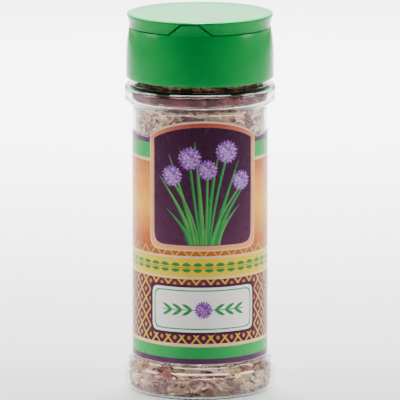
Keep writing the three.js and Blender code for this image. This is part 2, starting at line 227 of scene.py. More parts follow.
class Reading:
    """What a shader node puts out. Plain arithmetic on it adds the Math nodes that work it out."""

    def __init__(self, socket):
        self.socket = socket
        self.tree = socket.id_data

    def __add__(self, other):
        return maths("ADD", self, other)

    def __sub__(self, other):
        return maths("SUBTRACT", self, other)

    def __rsub__(self, other):
        return maths("SUBTRACT", other, self)

    def __mul__(self, other):
        return maths("MULTIPLY", self, other)

    def __truediv__(self, other):
        return maths("DIVIDE", self, other)

    def __pow__(self, power):
        return maths("POWER", self, power)

    def __abs__(self):
        return maths("ABSOLUTE", self)

    def clamped(self):
        """Held between 0 and 1."""
        return maths("ADD", self, 0, clamp=True)


def tree_of(*values):
    """The node tree that the readings among some values are in."""
    return next(value.tree for value in values if isinstance(value, Reading))


def fill(socket, value):
    """Links a socket to a reading, or sets it to a plain value."""
    if isinstance(value, Reading):
        value.tree.links.new(value.socket, socket)
    else:
        socket.default_value = value


def node(tree, kind, inputs=None, **settings):
    """One shader node, with its settings made and its inputs filled."""
    made = tree.nodes.new("ShaderNode" + kind)
    for key, value in settings.items():
        setattr(made, key, value)
    for key, value in (inputs or {}).items():
        fill(made.inputs[key], value)
    return made


def read(tree, kind, output, inputs=None, **settings):
    """One output of a new shader node."""
    return Reading(node(tree, kind, inputs, **settings).outputs[output])


def maths(operation, *values, clamp=False):
    """What a Math node makes of some values."""
    made = node(tree_of(*values), "Math", operation=operation, use_clamp=clamp)
    for socket, value in zip(made.inputs, values):
        fill(socket, value)
    return Reading(made.outputs[0])


def split(vector):
    """The three parts of a vector."""
    return [Reading(part) for part in node(vector.tree, "SeparateXYZ", {"Vector": vector}).outputs]


def between(value, low, high, interpolation="LINEAR"):
    """0 below low, 1 above high and a steady rise between."""
    inputs = {"Value": value, "From Min": low, "From Max": high}
    return read(value.tree, "MapRange", "Result", inputs, interpolation_type=interpolation)


def eased(value, low, high):
    """The same with a smooth rise."""
    return between(value, low, high, "SMOOTHSTEP")


def grey(value):
    return (value, value, value, 1)


def mixed(share, first, second, blend="MIX"):
    """Colour between first and second."""
    made = node(tree_of(share, first, second), "Mix", data_type="RGBA", blend_type=blend)
    for index, value in ((0, share), (6, first), (7, second)):
        fill(made.inputs[index], value)
    return Reading(made.outputs[2])


def ramp(value, *stops):
    """Colours along a value, from (position, red, green, blue) stops."""
    made = node(value.tree, "ValToRGB", {"Fac": value})
    elements = made.color_ramp.elements
    while len(elements) < len(stops):
        elements.new(0.5)
    for element, (position, *colour) in zip(elements, stops):
        element.position = position
        element.color = (*colour, 1)
    return Reading(made.outputs["Color"])


def grain(vector, scale, detail=2, roughness=0.5):
    """Noise from 0 to 1 at each place."""
    inputs = {"Vector": vector, "Scale": scale, "Detail": detail, "Roughness": roughness}
    return read(vector.tree, "TexNoise", "Fac", inputs)


def upright(vector, share):
    """The vector with its height squeezed, so that what is drawn on it runs up the piece."""
    return read(vector.tree, "Mapping", "Vector", {"Vector": vector, "Scale": (1, 1, share)})


def bumped(height, strength, distance, **more):
    """Normals that a height in the surface gives."""
    inputs = {"Height": height, "Strength": strength, "Distance": distance, **more}
    return read(height.tree, "Bump", "Normal", inputs)


def new_group(name, inputs, outputs):
    """An empty shader group whose inputs and outputs are numbers, but for one called Vector. Gives the
    group, its inputs' readings by name and the sockets that it puts out through."""
    tree = bpy.data.node_groups.new(name, "ShaderNodeTree")
    for direction, labels in (("INPUT", inputs), ("OUTPUT", outputs)):
        for label in labels:
            kind = "NodeSocketVector" if label == "Vector" else "NodeSocketFloat"
            tree.interface.new_socket(label, in_out=direction, socket_type=kind)
    given = {socket.name: Reading(socket) for socket in tree.nodes.new("NodeGroupInput").outputs}
    return tree, given, tree.nodes.new("NodeGroupOutput").inputs


def use_group(group, **inputs):
    """A group's outputs by name, once its inputs are filled."""
    made = node(tree_of(*inputs.values()), "Group", node_tree=group)
    for key, value in inputs.items():
        fill(made.inputs[key], value)
    return {socket.name: Reading(socket) for socket in made.outputs}


def new_finish(name, **values):
    """A material, its shader with plain values set, and each point's place on the object."""
    finish = bpy.data.materials.new(name)
    finish.use_nodes = True
    shader = finish.node_tree.nodes["Principled BSDF"]
    feed(shader, **values)
    return finish, shader, read(finish.node_tree, "TexCoord", "Object")


def feed(shader, **sources):
    """Fills the shader's sockets, whose names have _ for a space here."""
    for key, source in sources.items():
        fill(shader.inputs[key.replace("_", " ")], source)


# ---- shared effects

EDGE_SOFTNESS = 0.05  # millimetres over which print changes colour
STEM_SHAPE = ("Foot", "Lean", "Bend", "Top", "Width", "Taper")


def mottle_group():
    """Slow cloudy change from 0 to 1 over a surface."""
    tree, given, out = new_group("mottle", ["Vector", "Scale", "Contrast"], ["Value"])
    cloud = grain(given["Vector"], given["Scale"], detail=4)
    fill(out["Value"], ((cloud - 0.5) * given["Contrast"] + 0.5).clamped())
    return tree


def scuff_group():
    """Fine hairline rubs in crossing directions, as handling leaves on plastic."""
    tree, given, out = new_group("scuffs", ["Vector", "Scale", "Amount"], ["Mask"])
    rubs = 0
    for turn in (0.5, 1.9, 2.7):
        placed = {"Vector": given["Vector"], "Rotation": (0.3, turn, turn), "Scale": (1, 22, 1)}
        streak = grain(read(tree, "Mapping", "Vector", placed), given["Scale"])
        rubs = maths("MAXIMUM", rubs, between(streak, 0.68, 0.74))
    patches = between(grain(given["Vector"], 70), 0.42, 0.62)
    fill(out["Mask"], rubs * patches * given["Amount"])
    return tree


def inside_group():
    """1 where a distance in millimetres is above 0, with a printed edge."""
    tree, given, out = new_group("inside", ["Distance"], ["Mask"])
    fill(out["Mask"], eased(given["Distance"], -EDGE_SOFTNESS, EDGE_SOFTNESS))
    return tree


def stem_group():
    """A stalk from (Foot, Bottom) up to Top that leans and bends: its mask and its shading."""
    names = ["Across", "Up", "Bottom", *STEM_SHAPE]
    tree, given, out = new_group("stem", names, ["Mask", "Shade"])
    rise = given["Up"] - given["Bottom"]
    share = rise / (given["Top"] - given["Bottom"])
    square = share * share
    middle = given["Lean"] * share + given["Foot"] + given["Bend"] * square
    half_width = given["Width"] * 0.5 * (1 - given["Taper"] * square)
    offset = given["Across"] - middle
    ends = maths("MINIMUM", rise, given["Top"] - given["Up"])
    fill(out["Mask"], inside(maths("MINIMUM", half_width - abs(offset), ends)))
    fill(out["Shade"], (offset / given["Width"] * 0.9 + 0.5).clamped())
    return tree


def blossom_group():
    """A round head of pointed florets: its mask and the tone of each floret."""
    tree, given, out = new_group("blossom", ["Right", "Above", "Size"], ["Mask", "Tone"])
    right, above, size = given["Right"], given["Above"], given["Size"]
    distance = maths("SQRT", right**2 + above**2)
    tips = abs(maths("SINE", maths("ARCTAN2", above, right) * 9.5))
    fill(out["Mask"], inside(size * (tips * 0.22 + 0.78) - distance))
    spot = read(tree, "CombineXYZ", "Vector", {"X": right, "Y": above})
    floret = read(tree, "TexVoronoi", "Distance", {"Vector": spot, "Scale": 1.1})
    fill(out["Tone"], (distance / size * -0.35 + 1.0 - floret).clamped())
    return tree


def mottle(vector, scale, contrast=2.0):
    return use_group(MOTTLE, Vector=vector, Scale=scale, Contrast=contrast)["Value"]


def scuffs(vector, scale, amount):
    return use_group(SCUFFS, Vector=vector, Scale=scale, Amount=amount)["Mask"]


def inside(distance):
    return use_group(INSIDE, Distance=distance)["Mask"]


MOTTLE = mottle_group()
SCUFFS = scuff_group()
INSIDE = inside_group()
STEM = stem_group()
BLOSSOM = blossom_group()

# ---- finishes


def floor_finish():
    """Matt white board."""
    finish, shader, place = new_finish("white_table", Roughness=0.95, Specular_IOR_Level=0.0)
    feed(shader, Base_Color=mixed(mottle(place, 3), grey(0.84), grey(0.86)))
    return finish


def green_plastic():
    """Glossy moulded polypropylene."""
    finish, shader, place = new_finish("green_plastic", IOR=1.49, Specular_IOR_Level=0.10)
    cloud = mottle(place, 60)
    rubs = scuffs(place, 260, 0.12)
    body = mixed(cloud, (0.0, 0.235, 0.042, 1), (0.0, 0.270, 0.050, 1))
    flow = bumped(grain(upright(place, 0.35), 180), 0.25, 0.00006)
    feed(
        shader,
        Base_Color=mixed(rubs, body, (0.06, 0.40, 0.14, 1)),
        Roughness=rubs * 0.3 + cloud * 0.06 + 0.17,
        Normal=bumped(grain(place, 2600), 0.10, 0.00002, Normal=flow),
    )
    return finish


def clear_plastic():
    """Clear polyester that lets lamplight through."""
    finish, shader, place = new_finish("clear_plastic", IOR=1.42, Transmission_Weight=1.0)
    feed(
        shader,
        Base_Color=(0.985, 0.995, 0.99, 1),
        Roughness=scuffs(place, 200, 0.5) * 0.25 + mottle(place, 90) * 0.02 + 0.012,
        Normal=bumped(grain(upright(place, 0.5), 120), 0.3, 0.00008),
    )
    tree = finish.node_tree
    passing = read(tree, "BsdfTransparent", "BSDF", {"Color": (0.93, 0.95, 0.94, 1)})
    lamp_ray = read(tree, "LightPath", "Is Shadow Ray")
    both = node(tree, "MixShader")
    for socket, source in zip(both.inputs, (lamp_ray, Reading(shader.outputs[0]), passing)):
        fill(socket, source)
    fill(tree.nodes["Material Output"].inputs["Surface"], Reading(both.outputs[0]))
    return finish


def foam_finish():
    """Closed-cell white foam."""
    finish, shader, place = new_finish("seal_foam")
    cells = read(place.tree, "TexVoronoi", "Distance", {"Vector": place, "Scale": 3200.0})
    feed(
        shader,
        Base_Color=mixed(mottle(place, 200), (0.82, 0.80, 0.74, 1), (0.90, 0.89, 0.85, 1)),
        Roughness=cells * 0.2 + 0.65,
        Normal=bumped(cells, 0.5, 0.00008),
    )
    return finish


def chive_finish():
    """Dried chopped chives: each bit has a tone of its own, which in the shoulder ring is painted
    shade, and fine ribs.
    """
    finish, shader, place = new_finish("dried_chives", Specular_IOR_Level=0.05)
    # Its darkest stops serve the shoulder ring's bits, where they are painted shade.
    leaf = ramp(
        read(place.tree, "Attribute", "Fac", attribute_name="tone"),
        (0.0, 0.030, 0.002, 0.007),
        (0.2, 0.085, 0.014, 0.024),
        (0.4, 0.180, 0.060, 0.058),
        (0.55, 0.320, 0.180, 0.130),
        (0.7, 0.270, 0.175, 0.070),
        (0.85, 0.470, 0.280, 0.185),
        (1.0, 0.700, 0.440, 0.300),
    )
    cloud = mottle(place, 900, 2.5)
    dust = mixed(cloud, (0.45, 0.42, 0.45, 1), (1.25, 1.2, 1.1, 1))
    feed(
        shader,
        Base_Color=mixed(0.45, leaf, dust, "MULTIPLY"),
        Roughness=cloud * 0.25 + 0.55,
        Normal=bumped(grain(place, 3500, detail=3, roughness=0.7), 0.6, 0.00015),
    )
    return finish


def dust_and_gap_shade_finish():
    """Painted shade between the bits: crumbs and dust in a dark purplish brown, darkened to stand for
    the shade in the gaps.
    """
    finish, shader, place = new_finish("chive_dust_and_gap_shade", Roughness=0.95, Specular_IOR_Level=0.03)
    crumbs_and_shade = node(place.tree, "TexVoronoi", {"Vector": place, "Scale": 900.0, "Randomness": 1.0})
    tint = Reading(crumbs_and_shade.outputs["Color"])
    speck = read(place.tree, "SeparateColor", "Red", {"Color": tint})
    # These dark purplish browns are painted shade for the gaps between the bits.
    dust_and_shade_brown = ramp(speck, (0.0, 0.02, 0.006, 0.013), (0.5, 0.055, 0.018, 0.030), (1.0, 0.16, 0.08, 0.07))
    feed(shader, Base_Color=dust_and_shade_brown, Normal=bumped(Reading(crumbs_and_shade.outputs["Distance"]), 1.0, 0.0006))
    return finish


# ---- label print

PLUM = (0.050, 0.010, 0.040, 1)
LIGHT_PLUM = (0.095, 0.028, 0.085, 1)
RULE_PLUM = (0.35, 0.22, 0.30, 1)
LEAF_GREEN = (0.015, 0.36, 0.075, 1)
BOTTLE_GREEN = (0.03, 0.22, 0.05, 1)
SPRAY_GREEN = (0.02, 0.25, 0.06, 1)
TWIG_GREEN = (0.02, 0.20, 0.05, 1)
BLADE_SHADE = (0.008, 0.13, 0.04, 1)
BLADE_LIGHTS = ((0.12, 0.50, 0.10, 1), (0.05, 0.42, 0.09, 1))
CREAM = (0.90, 0.54, 0.30, 1)
IVORY = (0.93, 0.88, 0.84, 1)
PARCHMENT = (0.90, 0.83, 0.74, 1)
GOLD = (0.76, 0.56, 0.015, 1)
OLD_GOLD = (0.80, 0.50, 0.05, 1)
OCHRE = (0.40, 0.17, 0.03, 1)
RUST = (0.62, 0.20, 0.04, 1)
BARK = (0.30, 0.14, 0.02, 1)

# From low to high or from dark to light: (position, red, green, blue)
GROUND = [
    (0.0, 0.045, 0.010, 0.035),
    (0.30, 0.10, 0.022, 0.035),
    (0.50, 0.55, 0.13, 0.015),
    (0.66, 0.85, 0.42, 0.03),
    (0.80, 0.80, 0.25, 0.03),
    (1.0, 0.20, 0.05, 0.05),
]
FRAME_REDS = [(0.0, 0.80, 0.34, 0.17), (1.0, 0.36, 0.06, 0.045)]
DUSK = [(0.0, 0.085, 0.022, 0.060), (0.45, 0.055, 0.013, 0.042), (1.0, 0.035, 0.007, 0.028)]
LILAC = [(0.0, 0.16, 0.04, 0.26), (0.45, 0.42, 0.20, 0.56), (0.9, 0.86, 0.66, 0.92)]
VIOLET = [(0.0, 0.14, 0.03, 0.22), (0.45, 0.34, 0.13, 0.46), (0.9, 0.70, 0.46, 0.80)]

# Millimetres round from the middle of the label's front, and up from its foot
LABEL_HALF_LENGTH = math.pi * LABEL_RADIUS - LABEL_SEAM_WIDTH / 2
LABEL_HEIGHT = ARCH_MIDDLE + ARCH_HALF_HEIGHT - LABEL_BOTTOM
SIDE_HEIGHT = LABEL_TOP - LABEL_BOTTOM
GROUND_START = 6.5
WINDOW_HALF_WIDTH = 18.6
WINDOW_BOTTOM = 36.5
WINDOW_INSET = 0.25  # below the label's arched edge
WINDOW_CORNER = 6
FRAME_LINE = 0.4
FRAME_WIDTH = 1.75
BLUSH = (68.0, 77.0)  # heights between which the frame reddens
STEM_BOTTOM = WINDOW_BOTTOM + 2
STEMS = [  # each in the order of STEM_SHAPE
    (-3.6, -4, -7, 60, 1.5, 0.9),
    (3.8, 4, 7.5, 58.5, 1.5, 0.9),
    (-2.7, -6, -2.5, 67, 1.3, 0.9),
    (2.6, 7.5, 1.5, 65, 1.3, 0.9),
    (-0.3, -1.5, -1, 71.5, 1.5, 0.9),
    (1.2, 1, 3.2, 70, 1.3, 0.9),
    (-1.8, -2, -6.4, 59, 0.8, 0.1),
    (-0.9, -4, 0.6, 64.5, 0.8, 0.1),
    (0.5, 1.2, -0.5, 61, 0.8, 0.1),
    (1.8, 3, 2.7, 66.5, 0.8, 0.1),
    (2.4, 3.5, 6.6, 57, 0.8, 0.1),
    (-4.3, -2, -6, 50, 1.4, 0.9),
    (4.6, 1.5, 6, 51, 1.4, 0.9),
]
# across, up, size
HEADS = [(-10.2, 60.4, 3.5), (-4.3, 66, 3.9), (1.2, 62.4, 3.3), (7.5, 68, 3.8), (12.5, 58.6, 3.3)]
BELT_BOTTOM = 28.2
BELT_TOP = 34.2
BELT_HALF_STEP = 3.6
BELT_LEAF = 1.65
LEAF_HALF_WIDTH = 0.62
TRELLIS_HALF_PITCH = 2.3
TRELLIS_SLOPE = 0.8
TRELLIS_BAR = 0.42
TRELLIS_RIB = 0.18
TRELLIS_BEAD = 0.75
TRELLIS_TOP = WINDOW_BOTTOM + 1
CARTOUCHE = (17.5, 7.2, 3.5)  # half width, half height and corner
CARTOUCHE_MIDDLE = 17.6
SPRAY_LEAF = 1.75
SPRAY_STARTS = (3.6, 6.9, 10.2)
BACK_PANEL = (9.5, 24.5, 3)
BACK_PANEL_AWAY = 49
BACK_PANEL_MIDDLE = 34.5
RULE_HALF_STEP = 1.9


class Print:
    """Layers of ink laid over each other, on a ground that warms from plum at the foot to gold."""

    def __init__(self, tree):
        wrap = read(tree, "UVMap", "UV", uv_map="wrap")
        share_across, share_up, _ = split(wrap)
        self.across = share_across * (2 * LABEL_HALF_LENGTH) - LABEL_HALF_LENGTH
        self.up = share_up * LABEL_HEIGHT
        fall = maths("SQRT", 1 - maths("MINIMUM", abs(self.across / ARCH_HALF_WIDTH), 1) ** 2)
        self.arch = fall * ARCH_HALF_HEIGHT + (ARCH_MIDDLE - LABEL_BOTTOM)
        drift = (mottle(wrap, 7, 1.2) - 0.5) * 0.16
        self.colour = ramp(drift + between(self.up, GROUND_START, SIDE_HEIGHT), *GROUND)

    def cover(self, mask, colour):
        """Ink where a mask is 1."""
        self.colour = mixed(mask, self.colour, colour)

    def lay(self, distance, colour):
        """Ink where a distance is above 0."""
        self.cover(inside(distance), colour)

    def lay_blossom(self, right, above, size, tones, mask=1):
        """A blossom's head, where right and above lead from its middle."""
        head = use_group(BLOSSOM, Right=right, Above=above, Size=size)
        self.cover(head["Mask"] * mask, ramp(head["Tone"], *tones))


def within(value, low, high):
    """Distance inside a range, negative outside it."""
    return maths("MINIMUM", value - low, high - value)


def plate(right, above, half_width, half_height, corner):
    """Distance inside a round-cornered plate, where right and above lead from its middle."""
    return maths("SMOOTH_MIN", half_width - abs(right), half_height - abs(above), corner)


def lay_leaf_pair(ink, along, rise, midrib, half_length, colour):
    """A pointed leaf above a stem and one below it, with their midribs that far from it."""
    half_width = (1 - (along / half_length) ** 2) * LEAF_HALF_WIDTH
    for off in (rise - midrib, rise + midrib):
        ink.lay(half_width - abs(off), colour)


def lay_trellis(ink):
    """Ochre and gold trellis with a bead in the middle of each gap."""
    climb = ink.up * TRELLIS_SLOPE
    slants = (ink.across + climb, ink.across - climb)
    from_bars = [maths("PINGPONG", slant, TRELLIS_HALF_PITCH) for slant in slants]
    nearest = maths("MINIMUM", *from_bars)
    squares = [(TRELLIS_HALF_PITCH - away) ** 2 for away in from_bars]
    beads = TRELLIS_BEAD - maths("SQRT", squares[0] + squares[1])
    below = inside(TRELLIS_TOP - ink.up)
    layers = ((TRELLIS_BAR - nearest, OCHRE), (TRELLIS_RIB - nearest, OLD_GOLD), (beads, RUST))
    for distance, colour in layers:
        ink.cover(inside(distance) * below, colour)


def lay_borders(ink):
    """Cream hairline, green band and plum edge, along the bottom and under the top edge."""
    for depth, reaches in ((ink.up, (6.7, 5.7, 1.9)), (SIDE_HEIGHT - ink.up, (7.6, 6.6, 1.7))):
        for reach, colour in zip(reaches, (CREAM, LEAF_GREEN, LIGHT_PLUM)):
            ink.lay(reach - depth, colour)


def lay_back_panels(ink):
    """Two bare panels with ruled lines, either side of the seam."""
    panel = plate(abs(ink.across) - BACK_PANEL_AWAY, ink.up - BACK_PANEL_MIDDLE, *BACK_PANEL)
    ink.lay(panel + 0.7, PLUM)
    ink.lay(panel, PARCHMENT)
    ink.lay(within(panel, 0.9, 1.15), LIGHT_PLUM)
    rules = 0.09 - maths("PINGPONG", ink.up - 0.4, RULE_HALF_STEP)
    ink.lay(maths("MINIMUM", rules, panel - 2.2), RULE_PLUM)


def lay_belt(ink):
    """Golden belt with pairs of green leaves along it."""
    belt = within(ink.up, BELT_BOTTOM, BELT_TOP)
    ink.lay(belt + 0.7, CREAM)
    ink.lay(belt, GOLD)
    along = maths("PINGPONG", ink.across, BELT_HALF_STEP) - BELT_HALF_STEP / 2
    rise = ink.up - (BELT_BOTTOM + BELT_TOP) / 2
    lay_leaf_pair(ink, along, rise, (1 - along**2) * 0.10 + 0.85, BELT_LEAF, BOTTLE_GREEN)
    ink.cover(inside(0.13 - abs(rise)) * inside(belt), BARK)


def lay_cartouche(ink):
    """Ivory plate with a green line round it, a small blossom and two sprays of leaves."""
    rise = ink.up - CARTOUCHE_MIDDLE
    field = plate(ink.across, rise, *CARTOUCHE)
    ink.lay(field + 0.9, PLUM)
    ink.lay(field, IVORY)
    ink.lay(within(field, 0.8, 1.25), LEAF_GREEN)
    away = abs(ink.across)
    for start in SPRAY_STARTS:
        along = away - (start + 1.6)
        lay_leaf_pair(ink, along, rise, along * 0.5 + 0.95, SPRAY_LEAF, SPRAY_GREEN)
    ink.lay(maths("MINIMUM", 0.16 - abs(rise), within(away, 2.5, 13.6)), TWIG_GREEN)
    ink.lay_blossom(ink.across, rise, 2.9, VIOLET)


def lay_window(ink):
    """Arched window in a peach frame, with a clump of chives in flower in it."""
    sides = WINDOW_HALF_WIDTH - abs(ink.across)
    top = ink.arch - WINDOW_INSET - ink.up
    room = maths("SMOOTH_MIN", maths("MINIMUM", sides, top), ink.up - WINDOW_BOTTOM, WINDOW_CORNER)
    ink.lay(room, CREAM)
    ink.lay(room - FRAME_LINE, ramp(between(ink.up, *BLUSH), *FRAME_REDS))
    view = inside(room - FRAME_WIDTH)
    ink.cover(view, ramp(between(ink.up, WINDOW_BOTTOM, LABEL_HEIGHT), *DUSK))
    for index, stem in enumerate(STEMS):
        shape = dict(zip(STEM_SHAPE, stem))
        blade = use_group(STEM, Across=ink.across, Up=ink.up, Bottom=STEM_BOTTOM, **shape)
        ink.cover(blade["Mask"] * view, mixed(blade["Shade"], BLADE_SHADE, BLADE_LIGHTS[index % 2]))
    for across, up, size in HEADS:
        ink.lay_blossom(ink.across - across, ink.up - up, size, LILAC, view)


def label_finish():
    """Printed glossy film."""
    finish, shader, place = new_finish("printed_label", IOR=1.48, Specular_IOR_Level=0.10)
    ink = Print(finish.node_tree)
    lay_trellis(ink)
    lay_borders(ink)
    lay_back_panels(ink)
    lay_belt(ink)
    lay_cartouche(ink)
    lay_window(ink)
    cloud = mottle(place, 140, 1.6)
    rubs = scuffs(place, 240, 0.1)
    printed = mixed(1.0, ink.colour, mixed(cloud, grey(0.93), grey(1.0)), "MULTIPLY")
    top_edge = maths("MAXIMUM", ink.arch, SIDE_HEIGHT)
    to_edge = maths("MINIMUM", within(ink.up, 0, top_edge), LABEL_HALF_LENGTH - abs(ink.across))
    worn = mixed(inside(cloud * 0.3 - to_edge), printed, (0.55, 0.50, 0.50, 1))
    feed(
        shader,
        Base_Color=mixed(rubs, worn, (0.6, 0.56, 0.55, 1)),
        Roughness=rubs * 0.25 + cloud * 0.08 + 0.24,
        Normal=bumped(grain(upright(place, 0.25), 90, detail=3), 0.25, 0.00012),
    )
    return finish


# ---- modelling helpers


def finished(name, bm, finish, sharp=32):
    """A bmesh as an object of that name, smooth but for corners sharper than an angle in degrees."""
    mesh = bpy.data.meshes.new(name)
    bm.to_mesh(mesh)
    bm.free()
    mesh.materials.append(finish)
    mesh.shade_smooth()
    mesh.set_sharp_from_angle(angle=math.radians(sharp))
    piece = bpy.data.objects.new(name, mesh)
    bpy.context.scene.collection.objects.link(piece)
    return piece


def rounded(corners, closed, steps):
    """A profile's points in metres, from (radius, height, rounding) corners. A rounding is how much of
    a side its curve takes up."""
    points = []
    for index, (radius, height, rounding) in enumerate(corners):
        here = Vector((radius, height)) * MM
        if rounding == 0 or (not closed and index in (0, len(corners) - 1)):
            points.append(here)
            continue
        before = Vector(corners[index - 1][:2]) * MM - here
        after = Vector(corners[(index + 1) % len(corners)][:2]) * MM - here
        start = here + before.normalized() * min(rounding * MM, before.length / 2)
        end = here + after.normalized() * min(rounding * MM, after.length / 2)
        for step in range(steps + 1):
            share = step / steps
            points.append(start.lerp(here, share).lerp(here.lerp(end, share), share))
    return points


def spun(corners, sides, steps=5, closed=False):
    """A bmesh of a rounded profile turned round the Z axis."""
    bm = bmesh.new()
    points = rounded(corners, closed, steps)
    verts = [bm.verts.new((radius, 0, height)) for radius, height in points]
    after = verts[1:] + verts[:1] if closed else verts[1:]
    edges = [bm.edges.new(pair) for pair in zip(verts, after)]
    turn = {"cent": (0, 0, 0), "axis": (0, 0, 1), "angle": math.tau, "steps": sides}
    bmesh.ops.spin(bm, geom=verts + edges, use_merge=True, **turn)
    bmesh.ops.remove_doubles(bm, verts=bm.verts, dist=1e-7)
    bmesh.ops.recalc_face_normals(bm, faces=bm.faces)
    return bm


def of_kind(parts, kind):
    """The verts, edges or faces among the parts that an operator made."""
    return [part for part in parts if isinstance(part, kind)]


def settle(piece, sharp=32):
    """Applies a piece's modifiers to its mesh."""
    depsgraph = bpy.context.evaluated_depsgraph_get()
    mesh = bpy.data.meshes.new_from_object(piece.evaluated_get(depsgraph))
    piece.modifiers.clear()
    piece.data = mesh
    mesh.shade_smooth()
    mesh.set_sharp_from_angle(angle=math.radians(sharp))


def combine(piece, other, operation):
    """Joins or cuts piece with other, which is used up."""
    change = piece.modifiers.new("change", "BOOLEAN")
    change.object = other
    change.operation = operation
    change.solver = "EXACT"
    settle(piece)
    bpy.data.objects.remove(other)


def soften(piece, width=0.1, sharp=40):
    """Rounds every edge sharper than an angle in degrees by a small bevel."""
    bevel = piece.modifiers.new("soft edges", "BEVEL")
    bevel.width = width * MM
    bevel.segments = 2
    bevel.limit_method = "ANGLE"
    bevel.angle_limit = math.radians(sharp)
    settle(piece)


def rod(radius, bottom, top, finish, x=0, y=0, sides=40):
    """An upright round bar."""
    bm = bmesh.new()
    middle = Matrix.Translation(Vector((x, y, (bottom + top) / 2)) * MM)
    size = {"radius1": radius * MM, "radius2": radius * MM, "depth": (top - bottom) * MM}
    bmesh.ops.create_cone(bm, cap_ends=True, segments=sides, matrix=middle, **size)
    return finished("rod", bm, finish)


def thread_ridge(wall_radius, depth, start_height, finish):
    """A ridge that climbs a pitch a turn and dies away at both ends, inwards at a negative depth."""
    steps = 120
    fade_steps = 12
    root = wall_radius - math.copysign(THREAD_SUNK, depth)
    flanks = ((root, THREAD_ROOT_WIDTH / 2), (wall_radius + depth, THREAD_CREST_WIDTH / 2))
    section = [(radius, -half) for radius, half in flanks] + [flanks[1], flanks[0]]
    bm = bmesh.new()
    face = bm.faces.new([bm.verts.new(Vector((r, 0, start_height + h)) * MM) for r, h in section])
    turn = Matrix.Rotation(THREAD_TURNS * math.tau / steps, 3, "Z")
    rise = Vector((0, 0, THREAD_PITCH * THREAD_TURNS / steps * MM))
    fullness = [min(1, (0.5 + min(step, steps - step)) / fade_steps) for step in range(steps + 1)]
    middle = Vector((root, 0, start_height)) * MM
    bmesh.ops.scale(bm, vec=(fullness[0],) * 3, space=Matrix.Translation(-middle), verts=face.verts)
    for step in range(1, steps + 1):
        grown = bmesh.ops.extrude_face_region(bm, geom=[face])["geom"]
        face = of_kind(grown, bmesh.types.BMFace)[0]
        bmesh.ops.rotate(bm, cent=(0, 0, 0), matrix=turn, verts=face.verts)
        bmesh.ops.translate(bm, vec=rise, verts=face.verts)
        middle = turn @ middle + rise
        change = fullness[step] / fullness[step - 1]
        bmesh.ops.scale(bm, vec=(change,) * 3, space=Matrix.Translation(-middle), verts=face.verts)
    bmesh.ops.recalc_face_normals(bm, faces=bm.faces)
    ridge = finished("thread", bm, finish)
    ridge.data.transform(Matrix.Rotation(-math.pi / 2, 4, "Z"))
    return ridge


def cap_turned(piece):
    """Turns a piece made facing the front to where the cap comes to rest."""
    piece.data.transform(Matrix.Rotation(math.radians(CAP_TURN), 4, "Z"))
    return piece


# ---- jar and label


def make_jar(finish):
    """Clear jar: push-up base, swelling foot and shoulder ring, straight panel and threaded neck."""
    inner_ring = RING_RADIUS - SHELL_THICKNESS
    corners = [
        (0, PUSH_UP_MIDDLE, 0),
        (PUSH_UP_RADIUS, PUSH_UP_EDGE, 3),
        (STAND_INNER_RADIUS, 0, 0.8),
        (STAND_OUTER_RADIUS, 0, 0.8),
        (RING_RADIUS, HEEL_HEIGHT, 1.7),
        (RING_RADIUS, FOOT_TOP + 1.0, 1.5),
        (PANEL_RADIUS, PANEL_BOTTOM - 0.5, 0.9),
        (PANEL_RADIUS, PANEL_TOP + 0.5, 0.9),
        (RING_RADIUS, RING_BOTTOM - 0.4, 0.8),
        (RING_RADIUS, RING_TOP, 1.6),
        (NECK_RADIUS, SHOULDER_TOP, 0.8),
        (NECK_RADIUS, LIP_HEIGHT, 0.5),
        (BORE_RADIUS, LIP_HEIGHT, 0.5),
        (BORE_RADIUS, SHOULDER_TOP - SHELL_THICKNESS, 0.9),
        (inner_ring, RING_TOP - SHELL_THICKNESS - 0.2, 1.0),
        (inner_ring, RING_BOTTOM + 0.1, 0.7),
        (INNER_RADIUS, PANEL_TOP + 1.1, 0.8),
        (INNER_RADIUS, PANEL_BOTTOM - 0.9, 0.8),
        (inner_ring, FOOT_TOP + 0.4, 1.0),
        (inner_ring, SHELL_THICKNESS + 0.3, 1.4),
        (STAND_INNER_RADIUS, SHELL_THICKNESS, 0.9),
        (PUSH_UP_RADIUS, FLOOR_EDGE, 2),
        (0, FLOOR_MIDDLE, 0),
    ]
    jar = finished("clear_jar", spun(corners, sides=192, steps=6), finish)
    ridge = thread_ridge(NECK_RADIUS, THREAD_DEPTH, NECK_THREAD_START, finish)
    combine(jar, ridge, "UNION")
    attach(jar, "jar")
    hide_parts("jar")
    return jar


def label_top_edge(along):
    """Height of the label's top edge at a distance round from the middle of its front."""
    across = min(1, abs(along) / ARCH_HALF_WIDTH)
    return max(LABEL_TOP, ARCH_MIDDLE + ARCH_HALF_HEIGHT * math.sqrt(1 - across**2))


def make_label(finish):
    """A thin film bent round the panel, its top edge cut to the arch, and its map for the print."""
    bm = bmesh.new()
    bmesh.ops.create_grid(bm, x_segments=300, y_segments=24, size=1)
    wrap = bm.loops.layers.uv.new("wrap")
    for vert in bm.verts:
        along = vert.co.x * LABEL_HALF_LENGTH
        share = (vert.co.y + 1) / 2
        up = share * (label_top_edge(along) - LABEL_BOTTOM)
        for loop in vert.link_loops:
            loop[wrap].uv = (0.5 + along / LABEL_HALF_LENGTH / 2, up / LABEL_HEIGHT)
        angle = along / LABEL_RADIUS + math.radians(LABEL_TURN)
        out = Vector((math.sin(angle), -math.cos(angle), 0)) * LABEL_RADIUS
        vert.co = (out + Vector((0, 0, LABEL_BOTTOM + up))) * MM
    label = finished("wrap_label", bm, finish)
    wall = label.modifiers.new("film", "SOLIDIFY")
    wall.thickness = LABEL_THICKNESS * MM
    wall.offset = 1
    settle(label, sharp=50)
    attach(label, "jar")
    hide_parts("label")


# ---- cap body


